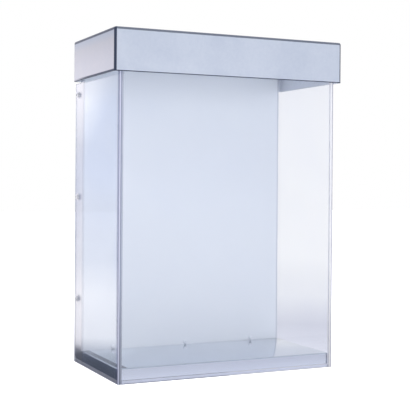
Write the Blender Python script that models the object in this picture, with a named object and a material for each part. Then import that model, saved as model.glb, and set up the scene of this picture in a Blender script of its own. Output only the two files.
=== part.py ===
"""A tall clear display case with a lift-off folded-sheet cap.

Metres, +Z up. The front faces -Y and X runs along the width. The origin is
the middle of the whole object's footprint, on the surface it stands on.
"""

import math

import bmesh
import bpy
from mathutils import Matrix, Vector

# Overall sizes
CASE_WIDTH = 0.350
CASE_DEPTH = 0.200
TOTAL_HEIGHT = 0.500

# Clear panels and what stands between them
ACRYLIC = 0.005
ACRYLIC_ARRIS = 0.0006
CORNER_CHAMFER = 0.0012
BASE_PLATE = 0.005
FLOOR_HEIGHT = 0.022
TRAY_SHEET = 0.0015
TRAY_BEND = 0.0017
BACK_SHEET = 0.004
METAL_ARRIS = 0.0004

# Rear frame of square tube
POST_SIZE = 0.030
POST_WALL = 0.002

# Cap
CAP_HEIGHT = 0.062
CAP_SIDE_OVERHANG = 0.010
CAP_FRONT_OVERHANG = 0.006
CAP_REAR_SETBACK = 0.020
CAP_SHEET = 0.0015
CAP_BEND = 0.0035
CAP_REAR_ROOM = 0.0045
GUIDE_ARM = 0.030
GUIDE_HEIGHT = 0.020
GUIDE_CLEARANCE = 0.0005
GUIDE_CORNER = 0.003

# Fasteners
SHANK_RADIUS = 0.0020
SOCKET_APOTHEM = 0.00125
SOCKET_DEPTH = 0.0014
SIDE_HEAD_RADIUS = 0.0038
SIDE_HEAD_HEIGHT = 0.0022
SIDE_SCREW_COUNT = 3
SIDE_SCREW_LOWEST = 0.101
SIDE_SCREW_BELOW_RIM = 0.020
WASHER_RADIUS = 0.0055
WASHER_THICKNESS = 0.0010
BACK_HEAD_RADIUS = 0.0030
BACK_HEAD_HEIGHT = 0.0016
BACK_SCREW_COUNT = 3
BACK_SCREW_INSET = 0.056
BACK_HEAD_ABOVE_FLOOR = 0.0006
SCREW_TAIL = 0.002
ROUND_STEPS = 18

# Clearances
GAP = 0.0003
RIM_CLEARANCE = 0.0015

# Places worked out from the sizes above
FOOTPRINT_DEPTH = CASE_DEPTH + CAP_FRONT_OVERHANG
FRONT_Y = CAP_FRONT_OVERHANG - FOOTPRINT_DEPTH / 2
REAR_Y = FRONT_Y + CASE_DEPTH
SIDE_X = CASE_WIDTH / 2
INNER_X = SIDE_X - ACRYLIC - GAP
INNER_FRONT_Y = FRONT_Y + ACRYLIC + GAP
RIM_Z = TOTAL_HEIGHT - CAP_HEIGHT
REAR_TOP_Z = RIM_Z - RIM_CLEARANCE
PANEL_TOP_Z = TOTAL_HEIGHT - CAP_SHEET - GAP
POST_FRONT_Y = REAR_Y - POST_SIZE
BACK_REAR_Y = POST_FRONT_Y - GAP
BACK_FRONT_Y = BACK_REAR_Y - BACK_SHEET
CAP_REAR_Y = REAR_Y - CAP_REAR_SETBACK
CAP_FRONT_Y = FRONT_Y - CAP_FRONT_OVERHANG
CAP_X = SIDE_X + CAP_SIDE_OVERHANG
NOTCH_Y = CAP_REAR_Y - CAP_SHEET - CAP_REAR_ROOM
FRAME_BASE_Z = BASE_PLATE + GAP
SIDE_SCREW_Y = REAR_Y - POST_SIZE / 2
BACK_SCREW_Z = FLOOR_HEIGHT + BACK_HEAD_ABOVE_FLOOR + BACK_HEAD_RADIUS
HOLE_RADIUS = SHANK_RADIUS + GAP

# Finishes: colour, roughness, metallic, transmission
CLEAR_ACRYLIC = ((0.93, 0.94, 0.98), 0.03, 0.0, 1.0)
SILVER_SHEET = ((0.72, 0.74, 0.80), 0.32, 0.9, 0.0)
BACK_FINISH = ((0.80, 0.82, 0.88), 0.30, 0.6, 0.0)
TUBE_FINISH = ((0.70, 0.71, 0.74), 0.35, 1.0, 0.0)
SCREW_STEEL = ((0.62, 0.63, 0.66), 0.25, 1.0, 0.0)
NYLON = ((0.88, 0.88, 0.86), 0.50, 0.0, 0.0)


def clear_scene():
    for item in list(bpy.data.objects):
        bpy.data.objects.remove(item, do_unlink=True)


def paint(part, finish):
    colour, roughness, metallic, transmission = finish
    material = bpy.data.materials.new(part.name + "_finish")
    material.use_nodes = True
    shader = material.node_tree.nodes["Principled BSDF"]
    shader.inputs["Base Color"].default_value = (*colour, 1.0)
    shader.inputs["Roughness"].default_value = roughness
    shader.inputs["Metallic"].default_value = metallic
    shader.inputs["Transmission Weight"].default_value = transmission
    part.data.materials.append(material)


def add_mesh(name, form):
    bmesh.ops.recalc_face_normals(form, faces=form.faces)
    mesh = bpy.data.meshes.new(name)
    form.to_mesh(mesh)
    form.free()
    part = bpy.data.objects.new(name, mesh)
    bpy.context.scene.collection.objects.link(part)
    return part


def box_form(low, high):
    form = bmesh.new()
    size = Vector(high) - Vector(low)
    middle = (Vector(high) + Vector(low)) / 2
    place = Matrix.Translation(middle) @ Matrix.Diagonal((*size, 1.0))
    bmesh.ops.create_cube(form, size=1.0, matrix=place)
    return form


def soften(part, width, steps=1):
    bevel = part.modifiers.new("arris", "BEVEL")
    bevel.width = width
    bevel.segments = steps
    bevel.limit_method = "ANGLE"


def make_box(name, low, high, finish, arris):
    part = add_mesh(name, box_form(low, high))
    soften(part, arris)
    paint(part, finish)
    return part


def prism_form(outline, low, high, axis):
    """Extrude a flat outline along X (axis 0) or Z (axis 2)."""
    form = bmesh.new()
    points = []
    for first, second in outline:
        point = (low, first, second) if axis == 0 else (first, second, low)
        points.append(form.verts.new(point))
    form.faces.new(points)
    grown = bmesh.ops.extrude_face_region(form, geom=form.faces[:])
    moved = [item for item in grown["geom"] if isinstance(item, bmesh.types.BMVert)]
    step = Vector((high - low, 0, 0)) if axis == 0 else Vector((0, 0, high - low))
    bmesh.ops.translate(form, verts=moved, vec=step)
    return form


def smooth(part):
    part.data.shade_smooth()
    part.data.set_sharp_from_angle(angle=math.radians(35))


def turn_profile(name, profile, place, finish, steps=ROUND_STEPS):
    """Turn (radius, height) points about local Z; a hex point carries its apothem."""
    form = bmesh.new()
    rings = []
    for radius, height, is_hex in profile:
        if radius == 0.0:
            rings.append([form.verts.new((0, 0, height))])
            continue
        ring = []
        for step in range(steps):
            angle = 2 * math.pi * step / steps
            reach = radius
            if is_hex:
                reach = radius / math.cos(angle % (math.pi / 3) - math.pi / 6)
            ring.append(form.verts.new((reach * math.cos(angle), reach * math.sin(angle), height)))
        rings.append(ring)
    for lower, upper in zip(rings, rings[1:]):
        for step in range(steps):
            after = (step + 1) % steps
            if len(lower) == 1:
                form.faces.new((lower[0], upper[after], upper[step]))
            elif len(upper) == 1:
                form.faces.new((lower[step], lower[after], upper[0]))
            else:
                form.faces.new((lower[step], lower[after], upper[after], upper[step]))
    form.transform(place)
    part = add_mesh(name, form)
    smooth(part)
    paint(part, finish)
    return part


def facing(direction, point):
    """A matrix that puts local +Z along direction, at point."""
    turn = Vector((0, 0, 1)).rotation_difference(Vector(direction))
    return Matrix.Translation(point) @ turn.to_matrix().to_4x4()


def drill(part, point, direction, radius, length):
    """Cut a round hole centred on point, running length along direction."""
    form = bmesh.new()
    bmesh.ops.create_cone(
        form, cap_ends=True, segments=ROUND_STEPS, radius1=radius, radius2=radius,
        depth=length, matrix=facing(direction, point))
    subtract(part, add_mesh(part.name + "_hole", form))


def subtract(part, cutter):
    cutter.hide_render = True
    cutter.display_type = "WIRE"
    cut = part.modifiers.new("cut", "BOOLEAN")
    cut.operation = "DIFFERENCE"
    cut.solver = "EXACT"
    cut.object = cutter


def make_tube(name, low, high, axis):
    """A square tube, open at both ends, running along one axis."""
    part = make_box(name, low, high, TUBE_FINISH, METAL_ARRIS)
    inner_low = [value + POST_WALL for value in low]
    inner_high = [value - POST_WALL for value in high]
    inner_low[axis] = low[axis] - POST_WALL
    inner_high[axis] = high[axis] + POST_WALL
    subtract(part, add_mesh(name + "_bore", box_form(inner_low, inner_high)))
    return part


def make_screw(name, seat, outward, head_radius, head_height, shank_length):
    """A button-head screw; seat is the middle of the head's flat underside."""
    crown = head_radius * 0.62
    profile = [
        (0.0, -shank_length, False),
        (SHANK_RADIUS * 0.75, -shank_length, False),
        (SHANK_RADIUS, -shank_length + SHANK_RADIUS * 0.4, False),
        (SHANK_RADIUS, 0.0, False),
        (head_radius, 0.0, False),
        (head_radius, head_height * 0.35, False),
        (head_radius * 0.88, head_height * 0.78, False),
        (crown, head_height, False),
        (SOCKET_APOTHEM, head_height, True),
        (SOCKET_APOTHEM, head_height - SOCKET_DEPTH, True),
        (0.0, head_height - SOCKET_DEPTH, False),
    ]
    return turn_profile(name, profile, facing(outward, seat), SCREW_STEEL)


def make_washer(name, middle, outward):
    """A flat washer; middle is the centre of the face against the panel."""
    profile = [
        (HOLE_RADIUS, 0.0, False),
        (WASHER_RADIUS, 0.0, False),
        (WASHER_RADIUS, WASHER_THICKNESS * 0.6, False),
        (WASHER_RADIUS - WASHER_THICKNESS * 0.4, WASHER_THICKNESS, False),
        (HOLE_RADIUS, WASHER_THICKNESS, False),
        (HOLE_RADIUS, 0.0, False),
    ]
    form_place = facing(outward, middle)
    washer = turn_profile(name, profile, form_place, SCREW_STEEL)
    join_seam(washer)
    return washer


def join_seam(part):
    """Close a turned ring whose first and last profile points are the same."""
    form = bmesh.new()
    form.from_mesh(part.data)
    bmesh.ops.remove_doubles(form, verts=form.verts, dist=1e-6)
    bmesh.ops.recalc_face_normals(form, faces=form.faces)
    form.to_mesh(part.data)
    form.free()
    smooth(part)


def make_shell(name, low, high, open_sides, sheet, bend, steps, finish):
    """A folded sheet box: rounded outside corners, some sides left open."""
    form = box_form(low, high)
    form.normal_update()
    gone = []
    for face in form.faces:
        if any(face.normal.dot(Vector(side)) > 0.9 for side in open_sides):
            gone.append(face)
    bmesh.ops.delete(form, geom=gone, context="FACES")
    folds = [edge for edge in form.edges if len(edge.link_faces) == 2]
    bmesh.ops.bevel(
        form, geom=folds, offset=bend, offset_type="OFFSET", segments=steps,
        profile=0.5, affect="EDGES", clamp_overlap=True)
    part = add_mesh(name, form)
    wall = part.modifiers.new("sheet", "SOLIDIFY")
    wall.thickness = sheet
    wall.offset = -1.0
    wall.use_even_offset = True
    paint(part, finish)
    smooth(part)
    return part


def side_screw_heights():
    top = RIM_Z - SIDE_SCREW_BELOW_RIM
    step = (top - SIDE_SCREW_LOWEST) / (SIDE_SCREW_COUNT - 1)
    return [SIDE_SCREW_LOWEST + step * number for number in range(SIDE_SCREW_COUNT)]


def back_screw_places():
    reach = SIDE_X - BACK_SCREW_INSET
    step = 2 * reach / (BACK_SCREW_COUNT - 1)
    return [-reach + step * number for number in range(BACK_SCREW_COUNT)]


def chamfer_corner(form, outer):
    """Cut the case's upright front corner back at 45 degrees."""
    corner = Vector((outer, FRONT_Y))
    upright = [
        edge for edge in form.edges
        if all((point.co.xy - corner).length < GAP for point in edge.verts)
    ]
    bmesh.ops.bevel(
        form, geom=upright, offset=CORNER_CHAMFER, offset_type="OFFSET", segments=1,
        profile=0.5, affect="EDGES")


def make_clear_panels():
    make_box(
        "front_panel",
        (-INNER_X, FRONT_Y, 0), (INNER_X, FRONT_Y + ACRYLIC, PANEL_TOP_Z),
        CLEAR_ACRYLIC, ACRYLIC_ARRIS)
    outline = [
        (FRONT_Y, 0),
        (REAR_Y, 0),
        (REAR_Y, REAR_TOP_Z),
        (NOTCH_Y, REAR_TOP_Z),
        (NOTCH_Y, PANEL_TOP_Z),
        (FRONT_Y, PANEL_TOP_Z),
    ]
    for side, name in ((-1, "left"), (1, "right")):
        inner = side * (SIDE_X - ACRYLIC)
        outer = side * SIDE_X
        form = prism_form(outline, min(inner, outer), max(inner, outer), 0)
        chamfer_corner(form, outer)
        panel = add_mesh("side_panel_" + name, form)
        soften(panel, ACRYLIC_ARRIS)
        paint(panel, CLEAR_ACRYLIC)
        for height in side_screw_heights():
            middle = ((inner + outer) / 2, SIDE_SCREW_Y, height)
            drill(panel, middle, (1, 0, 0), HOLE_RADIUS, ACRYLIC * 2)


def make_floor():
    make_box(
        "base_plate",
        (-INNER_X, INNER_FRONT_Y, 0), (INNER_X, REAR_Y, BASE_PLATE),
        CLEAR_ACRYLIC, ACRYLIC_ARRIS)
    make_shell(
        "floor_tray",
        (-INNER_X, INNER_FRONT_Y, FRAME_BASE_Z), (INNER_X, BACK_FRONT_Y - GAP, FLOOR_HEIGHT),
        [(0, 0, -1)], TRAY_SHEET, TRAY_BEND, 3, SILVER_SHEET)


def make_back():
    back = make_box(
        "back_panel",
        (-INNER_X, BACK_FRONT_Y, FRAME_BASE_Z), (INNER_X, BACK_REAR_Y, PANEL_TOP_Z),
        BACK_FINISH, METAL_ARRIS)
    rail_x = INNER_X - POST_SIZE - GAP
    low_rail = make_tube(
        "rear_rail_bottom",
        (-rail_x, POST_FRONT_Y, FRAME_BASE_Z), (rail_x, REAR_Y, FRAME_BASE_Z + POST_SIZE), 0)
    make_tube(
        "rear_rail_top",
        (-rail_x, POST_FRONT_Y, REAR_TOP_Z - POST_SIZE), (rail_x, REAR_Y, REAR_TOP_Z), 0)
    for number, across in enumerate(back_screw_places(), start=1):
        seat = Vector((across, BACK_FRONT_Y - GAP, BACK_SCREW_Z))
        tail = GAP + BACK_SHEET + GAP + POST_WALL + SCREW_TAIL
        make_screw(
            f"back_screw_{number}", seat, (0, -1, 0), BACK_HEAD_RADIUS, BACK_HEAD_HEIGHT, tail)
        through = (across, (BACK_FRONT_Y + BACK_REAR_Y) / 2, BACK_SCREW_Z)
        drill(back, through, (0, 1, 0), HOLE_RADIUS, BACK_SHEET * 2)
        wall = (across, POST_FRONT_Y + POST_WALL / 2, BACK_SCREW_Z)
        drill(low_rail, wall, (0, 1, 0), HOLE_RADIUS, POST_WALL * 2)


def make_posts():
    for side, name in ((-1, "left"), (1, "right")):
        outer = side * INNER_X
        inner = side * (INNER_X - POST_SIZE)
        post = make_tube(
            "rear_post_" + name,
            (min(inner, outer), POST_FRONT_Y, FRAME_BASE_Z),
            (max(inner, outer), REAR_Y, REAR_TOP_Z), 2)
        for number, height in enumerate(side_screw_heights(), start=1):
            wall = (outer - side * POST_WALL / 2, SIDE_SCREW_Y, height)
            drill(post, wall, (1, 0, 0), HOLE_RADIUS, POST_WALL * 2)
            face = Vector((side * (SIDE_X + GAP), SIDE_SCREW_Y, height))
            make_washer(f"side_washer_{name}_{number}", face, (side, 0, 0))
            seat = face + Vector((side * (WASHER_THICKNESS + GAP), 0, 0))
            tail = GAP * 3 + WASHER_THICKNESS + ACRYLIC + POST_WALL + SCREW_TAIL
            make_screw(
                f"side_screw_{name}_{number}", seat, (side, 0, 0),
                SIDE_HEAD_RADIUS, SIDE_HEAD_HEIGHT, tail)


def make_cap():
    make_shell(
        "cap_shell",
        (-CAP_X, CAP_FRONT_Y, RIM_Z), (CAP_X, CAP_REAR_Y, TOTAL_HEIGHT),
        [(0, 0, -1)], CAP_SHEET, CAP_BEND, 4, SILVER_SHEET)


def make_guides():
    """Angle blocks high in the cap's corners that centre it on the clear panels."""
    skirt_x = CAP_X - CAP_SHEET - GAP
    panel_x = SIDE_X + GUIDE_CLEARANCE
    top = TOTAL_HEIGHT - CAP_BEND - CAP_SHEET
    cut = GUIDE_CORNER
    for side, side_name in ((-1, "left"), (1, "right")):
        for end, end_name in ((-1, "front"), (1, "rear")):
            if end < 0:
                skirt_y = CAP_FRONT_Y + CAP_SHEET + GAP
                panel_y = FRONT_Y - GUIDE_CLEARANCE
            else:
                skirt_y = CAP_REAR_Y - CAP_SHEET - GAP
                panel_y = NOTCH_Y + GUIDE_CLEARANCE
            outline = [
                (side * (skirt_x - cut), skirt_y),
                (side * skirt_x, skirt_y - end * cut),
                (side * skirt_x, skirt_y - end * GUIDE_ARM),
                (side * panel_x, skirt_y - end * GUIDE_ARM),
                (side * panel_x, panel_y),
                (side * (skirt_x - GUIDE_ARM), panel_y),
                (side * (skirt_x - GUIDE_ARM), skirt_y),
            ]
            form = prism_form(outline, top - GUIDE_HEIGHT, top, 2)
            block = add_mesh(f"cap_guide_{end_name}_{side_name}", form)
            soften(block, METAL_ARRIS)
            paint(block, NYLON)


def main():
    clear_scene()
    make_clear_panels()
    make_floor()
    make_back()
    make_posts()
    make_cap()
    make_guides()


main()
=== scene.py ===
import math

import bmesh
import bpy
from mathutils import Matrix, Vector


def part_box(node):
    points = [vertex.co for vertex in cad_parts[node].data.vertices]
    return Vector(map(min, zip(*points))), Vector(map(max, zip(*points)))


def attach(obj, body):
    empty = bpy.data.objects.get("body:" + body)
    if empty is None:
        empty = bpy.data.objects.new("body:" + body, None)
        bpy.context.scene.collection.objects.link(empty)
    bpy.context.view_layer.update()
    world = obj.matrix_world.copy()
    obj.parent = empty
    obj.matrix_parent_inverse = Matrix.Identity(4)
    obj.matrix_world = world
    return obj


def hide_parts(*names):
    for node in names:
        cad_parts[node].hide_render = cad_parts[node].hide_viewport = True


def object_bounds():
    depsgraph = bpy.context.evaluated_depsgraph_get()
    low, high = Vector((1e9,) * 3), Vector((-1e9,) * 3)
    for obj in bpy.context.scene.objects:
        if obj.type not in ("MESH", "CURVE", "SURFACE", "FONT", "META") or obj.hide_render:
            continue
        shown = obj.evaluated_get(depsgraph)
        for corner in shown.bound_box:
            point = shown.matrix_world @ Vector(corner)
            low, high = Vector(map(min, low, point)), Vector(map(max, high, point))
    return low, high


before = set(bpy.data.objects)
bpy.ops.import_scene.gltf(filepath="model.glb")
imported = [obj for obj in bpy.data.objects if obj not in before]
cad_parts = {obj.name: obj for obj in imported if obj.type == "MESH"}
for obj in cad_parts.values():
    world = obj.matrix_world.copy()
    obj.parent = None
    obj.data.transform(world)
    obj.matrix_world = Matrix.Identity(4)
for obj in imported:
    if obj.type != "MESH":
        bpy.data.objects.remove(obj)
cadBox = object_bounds()
scene = bpy.context.scene
print("frame loaded:", len(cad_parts), "CAD nodes")


def addSocket(tree, name, kind, default=None, output=False):
    socket = tree.interface.new_socket(
        name=name, in_out="OUTPUT" if output else "INPUT", socket_type="NodeSocket" + kind)
    if default is not None:
        socket.default_value = default
    return socket


def addNode(tree, kind, inputs=None, **settings):
    node = tree.nodes.new(kind)
    for name, value in settings.items():
        setattr(node, name, value)
    for name, value in (inputs or {}).items():
        if isinstance(value, bpy.types.NodeSocket):
            tree.links.new(value, node.inputs[name])
        else:
            node.inputs[name].default_value = value
    return node


def addMath(tree, operation, first, second=None, clamp=False):
    inputs = {0: first}
    if second is not None:
        inputs[1] = second
    return addNode(tree, "ShaderNodeMath", inputs, operation=operation, use_clamp=clamp).outputs[0]


def addRamp(tree, factor, stops):
    # a stop's colour may be one number, for a grey
    node = addNode(tree, "ShaderNodeValToRGB", {0: factor})
    band = node.color_ramp
    while len(band.elements) < len(stops):
        band.elements.new(0.5)
    for element, (place, colour) in zip(band.elements, stops):
        element.position = place
        element.color = colour if isinstance(colour, tuple) else (colour, colour, colour, 1)
    return node.outputs["Color"]


def mixColour(tree, factor, low, high):
    inputs = {0: factor, 6: low, 7: high}
    return addNode(tree, "ShaderNodeMix", inputs, data_type="RGBA").outputs[2]


def mapRange(tree, value, fromLow, fromHigh, toLow=0.0, toHigh=1.0):
    node = addNode(tree, "ShaderNodeMapRange", {
        "Value": value, "From Min": fromLow, "From Max": fromHigh,
        "To Min": toLow, "To Max": toHigh})
    return node.outputs[0]


def startGroup(name):
    tree = bpy.data.node_groups.new(name, "ShaderNodeTree")
    return tree, tree.nodes.new("NodeGroupInput"), tree.nodes.new("NodeGroupOutput")


def startMaterial(name, metallic=0.0):
    material = bpy.data.materials.new(name)
    material.use_nodes = True
    tree = material.node_tree
    tree.nodes.clear()
    output = tree.nodes.new("ShaderNodeOutputMaterial")
    shader = tree.nodes.new("ShaderNodeBsdfPrincipled")
    shader.inputs["Metallic"].default_value = metallic
    tree.links.new(shader.outputs[0], output.inputs[0])
    where = tree.nodes.new("ShaderNodeTexCoord").outputs["Object"]
    return material, tree, shader, where


def placeGroup(tree, group, inputs):
    return addNode(tree, "ShaderNodeGroup", inputs, node_tree=group).outputs[0]


def multiply(tree, first, second):
    return addMath(tree, "MULTIPLY", first, second)


def tintBy(tree, colour, tint):
    return addNode(
        tree, "ShaderNodeVectorMath", {0: colour, 1: tint}, operation="MULTIPLY").outputs[0]


def splitPlace(tree, where):
    return addNode(tree, "ShaderNodeSeparateXYZ", {0: where}).outputs[:]


def nearSides(tree, sideways, sideX, start, end):
    # rises from 0 to 1 between two distances from the left and right sides
    return mapRange(tree, addMath(tree, "ABSOLUTE", sideways), sideX - start, sideX - end)


def readMask(tree, name):
    return addNode(tree, "ShaderNodeAttribute", attribute_name=name).outputs["Fac"]


def addColour(tree, shader, colour):
    tree.links.new(colour, shader.inputs["Base Color"])


def rampByHeight(tree, up, stops):
    # 1 along the ramp is 500 mm up
    return addRamp(tree, multiply(tree, up, 2.0), stops)


def addRough(tree, shader, mask, low, high):
    tree.links.new(mapRange(tree, mask, 0.0, 1.0, low, high), shader.inputs["Roughness"])


def addDustyRough(tree, shader, polish, specks):
    rough = addMath(tree, "ADD", polish, multiply(tree, specks, dustRough))
    tree.links.new(rough, shader.inputs["Roughness"])


def addBump(tree, shader, height, strength, distance):
    bump = addNode(tree, "ShaderNodeBump", {
        "Height": height, "Strength": strength, "Distance": distance})
    tree.links.new(bump.outputs[0], shader.inputs["Normal"])


def addPiece(name, form, materials, faceUp=True):
    if faceUp:
        bmesh.ops.recalc_face_normals(form, faces=form.faces)
    mesh = bpy.data.meshes.new(name)
    form.to_mesh(mesh)
    form.free()
    piece = bpy.data.objects.new(name, mesh)
    for material in materials:
        mesh.materials.append(material)
    scene.collection.objects.link(piece)
    return piece


def settle(piece):
    # turn the piece with its modifiers into one plain mesh
    bpy.context.view_layer.update()
    seen = piece.evaluated_get(bpy.context.evaluated_depsgraph_get())
    mesh = bpy.data.meshes.new_from_object(seen)
    piece.modifiers.clear()
    piece.data = mesh
    mesh.name = piece.name


def makeCloudGroup():
    # broad cloudy patches with a finer blotch over them
    tree, inside, outside = startGroup("cloudyMottle")
    addSocket(tree, "Where", "Vector")
    addSocket(tree, "Patch Scale", "Float", 14.0)
    addSocket(tree, "Blotch Scale", "Float", 160.0)
    addSocket(tree, "Blotch Share", "Float", 0.4)
    addSocket(tree, "Mask", "Float", output=True)
    patch = addNode(tree, "ShaderNodeTexNoise", {
        "Vector": inside.outputs["Where"], "Scale": inside.outputs["Patch Scale"],
        "Detail": 3.0, "Roughness": 0.55, "Distortion": 0.6})
    blotch = addNode(tree, "ShaderNodeTexNoise", {
        "Vector": inside.outputs["Where"], "Scale": inside.outputs["Blotch Scale"],
        "Detail": 4.0, "Roughness": 0.65})
    both = addNode(tree, "ShaderNodeMix", {
        0: inside.outputs["Blotch Share"], 2: patch.outputs[0], 3: blotch.outputs[0]})
    mask = mapRange(tree, both.outputs[0], 0.32, 0.68)
    tree.links.new(mask, outside.inputs["Mask"])
    return tree


def makeDustGroup():
    # sparse specks, thicker where a slow noise lets them gather
    tree, inside, outside = startGroup("settledDust")
    addSocket(tree, "Where", "Vector")
    addSocket(tree, "Speck Scale", "Float", 420.0)
    addSocket(tree, "Amount", "Float", 0.5)
    addSocket(tree, "Mask", "Float", output=True)
    specks = addNode(tree, "ShaderNodeTexVoronoi", {
        "Vector": inside.outputs["Where"], "Scale": inside.outputs["Speck Scale"]})
    dots = mapRange(tree, specks.outputs["Distance"], 0.16, 0.05)
    drift = addNode(tree, "ShaderNodeTexNoise", {
        "Vector": inside.outputs["Where"], "Scale": 9.0, "Detail": 4.0})
    gather = mapRange(tree, drift.outputs[0], 0.45, 0.75)
    shown = multiply(tree, dots, gather)
    mask = addMath(tree, "MULTIPLY", shown, inside.outputs["Amount"], clamp=True)
    tree.links.new(mask, outside.inputs["Mask"])
    return tree


def makeScratchGroup():
    # fine lines drawn out along one direction, as rolling and wiping leave
    tree, inside, outside = startGroup("drawnLines")
    addSocket(tree, "Where", "Vector")
    addSocket(tree, "Stretch", "Vector", (12.0, 900.0, 900.0))
    addSocket(tree, "Height", "Float", output=True)
    drawn = addNode(tree, "ShaderNodeVectorMath", {
        0: inside.outputs["Where"], 1: inside.outputs["Stretch"]}, operation="MULTIPLY")
    lines = addNode(tree, "ShaderNodeTexNoise", {
        "Vector": drawn.outputs[0], "Scale": 1.0, "Detail": 2.0, "Roughness": 0.5})
    tree.links.new(lines.outputs[0], outside.inputs["Height"])
    return tree


cloudGroup = makeCloudGroup()
dustGroup = makeDustGroup()
scratchGroup = makeScratchGroup()


def addCloud(tree, where, patchScale, blotchScale, blotchShare):
    return placeGroup(tree, cloudGroup, {
        "Where": where, "Patch Scale": patchScale, "Blotch Scale": blotchScale,
        "Blotch Share": blotchShare})


def addDust(tree, where, scale, amount):
    return placeGroup(tree, dustGroup, {"Where": where, "Speck Scale": scale, "Amount": amount})


def addLines(tree, where, stretch):
    return placeGroup(tree, scratchGroup, {"Where": where, "Stretch": stretch})


# in the looks, clouds and patches are (patch scale, blotch scale, blotch share), dust is
# (speck scale, amount), lines are stretches along X, Y and Z, bumps are (strength, distance),
# and polish, satin and rough are the least and the most roughness
dustRough = 0.4
acrylicLook = {
    "faceColour": (0.975, 0.98, 0.995, 1),
    "smearColour": (0.955, 0.962, 0.99, 1),
    "refraction": 1.49,
    "faceClearness": 1.0,
    "polish": (0.0, 0.024),
    "smear": (7.0, 40.0, 0.25),
    "dust": (260.0, 0.35),
    "wiping": (260.0, 260.0, 7.0),
    "wipingBump": (0.02, 0.0002),
    # the left panel's haze with painted shade, by height where 1 is 500 mm up, and its end at the
    # upper rear; the blot is a painted darker reflection
    "hazeAndShadeColour": (0.80, 0.84, 0.945, 1),
    "hazeAndShadeByHeight": (
        (0.0, 0.0), (0.22, 0.05), (0.50, 0.6), (0.62, 1.0), (0.80, 0.9), (0.88, 0.3)),
    "hazeFilm": (5.5, 26.0, 0.2),
    "hazeSpread": (0.55, 1.25),
    "hazeSlant": 1.2,
    "hazeAndShadeEnd": (0.43, 0.54),
    "reflectionBlotPlace": (-0.175, -0.12, 0.188),
    "reflectionBlotReach": (0.03, 0.085),
    "reflectionBlotStrength": 0.65,
    # painted reflection: the violet strip beside the left panel's front edge
    "cornerReflection": (0.22, 0.23, 0.35, 1),
    "cornerReflectionLow": (0.80, 0.80, 1.0, 1),
    "cornerReflectionHeights": (0.03, 0.07),
    "cornerWidth": (0.0092, 0.006624),
    # the polished edges' painted highlight and shade lines, from the inner face to the outer one
    "edgePatch": (30.0, 300.0, 0.5),
    "edgeSaw": (700.0, 700.0, 60.0),
    "edgeBump": (0.08, 0.0002),
    "edgePolish": (0.154, 0.286),
    "edgeClearness": 0.25,
    "edgeLeftLightLines": (
        (0.0, (0.42, 0.455, 0.54, 1)), (0.22, (0.42, 0.455, 0.54, 1)),
        (0.36, (0.27, 0.30, 0.385, 1)), (0.58, (0.27, 0.30, 0.385, 1)),
        (0.68, (0.78, 0.80, 0.97, 1)), (0.87, (0.78, 0.80, 0.97, 1)),
        (0.94, (0.28, 0.295, 0.42, 1))),
    "edgeRightLightLines": (
        (0.0, (0.99, 0.99, 1.0, 1)), (0.45, (0.99, 0.99, 1.0, 1)),
        (0.62, (0.44, 0.43, 0.51, 1)), (1.0, (0.44, 0.43, 0.51, 1))),
    "edgeWear": (0.92, 1.04),
    "edgeFootShade": (0.16, 0.66),
    "edgeBrightShade": (0.60, 0.70, 0.0, 0.93),
}


def makeClear(tree, shader, clearness):
    # lamps and bounced light pass straight through, so what stands inside is lit
    shader.inputs["IOR"].default_value = acrylicLook["refraction"]
    shader.inputs["Transmission Weight"].default_value = clearness
    path = tree.nodes.new("ShaderNodeLightPath")
    either = addMath(
        tree, "ADD", path.outputs["Is Shadow Ray"], path.outputs["Is Diffuse Ray"], clamp=True)
    clear = tree.nodes.new("ShaderNodeBsdfTransparent")
    mixed = addNode(tree, "ShaderNodeMixShader", {
        0: either, 1: shader.outputs[0], 2: clear.outputs[0]})
    tree.links.new(mixed.outputs[0], tree.get_output_node("ALL").inputs[0])


def addHazeAndShade(tree, where, colour):
    # a bluish film in patches, partly haze and partly painted shade by height, and one painted
    # darker reflection blot halfway up beside the front corner
    along, up = splitPlace(tree, where)[1:]
    height = rampByHeight(tree, up, acrylicLook["hazeAndShadeByHeight"])
    film = addCloud(tree, where, *acrylicLook["hazeFilm"])
    patchy = mapRange(tree, film, 0.0, 1.0, *acrylicLook["hazeSpread"])
    hazeAndShade = addMath(tree, "MULTIPLY", height, patchy, clamp=True)
    slant = addMath(tree, "ADD", along, multiply(tree, up, acrylicLook["hazeSlant"]))
    hazeAndShade = multiply(tree, hazeAndShade, mapRange(tree, slant, *acrylicLook["hazeAndShadeEnd"], 1.0, 0.0))
    offset = addNode(tree, "ShaderNodeVectorMath", {
        0: where, 1: acrylicLook["reflectionBlotPlace"]}, operation="SUBTRACT")
    reach = addNode(tree, "ShaderNodeVectorMath", {0: offset.outputs[0]}, operation="LENGTH")
    reflectionBlot = mapRange(
        tree, reach.outputs["Value"], *acrylicLook["reflectionBlotReach"],
        acrylicLook["reflectionBlotStrength"], 0.0)
    hazeAndShade = addMath(tree, "MAXIMUM", hazeAndShade, reflectionBlot)
    return mixColour(tree, hazeAndShade, colour, acrylicLook["hazeAndShadeColour"])


def addCornerReflection(tree, where, colour):
    # painted reflection: the front corner is painted violet where the edge shows through, on the
    # panel's outer face only
    across, along, up = splitPlace(tree, where)
    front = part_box("side_panel_left")[0]
    wide, narrow = acrylicLook["cornerWidth"]
    near = mapRange(tree, along, front.y + wide, front.y + narrow)
    outside = mapRange(tree, across, front.x + 0.001, front.x + 0.0005)
    tint = mixColour(
        tree, mapRange(tree, up, *acrylicLook["cornerReflectionHeights"]),
        acrylicLook["cornerReflectionLow"], acrylicLook["cornerReflection"])
    return mixColour(tree, multiply(tree, near, outside), colour, tint)


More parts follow.
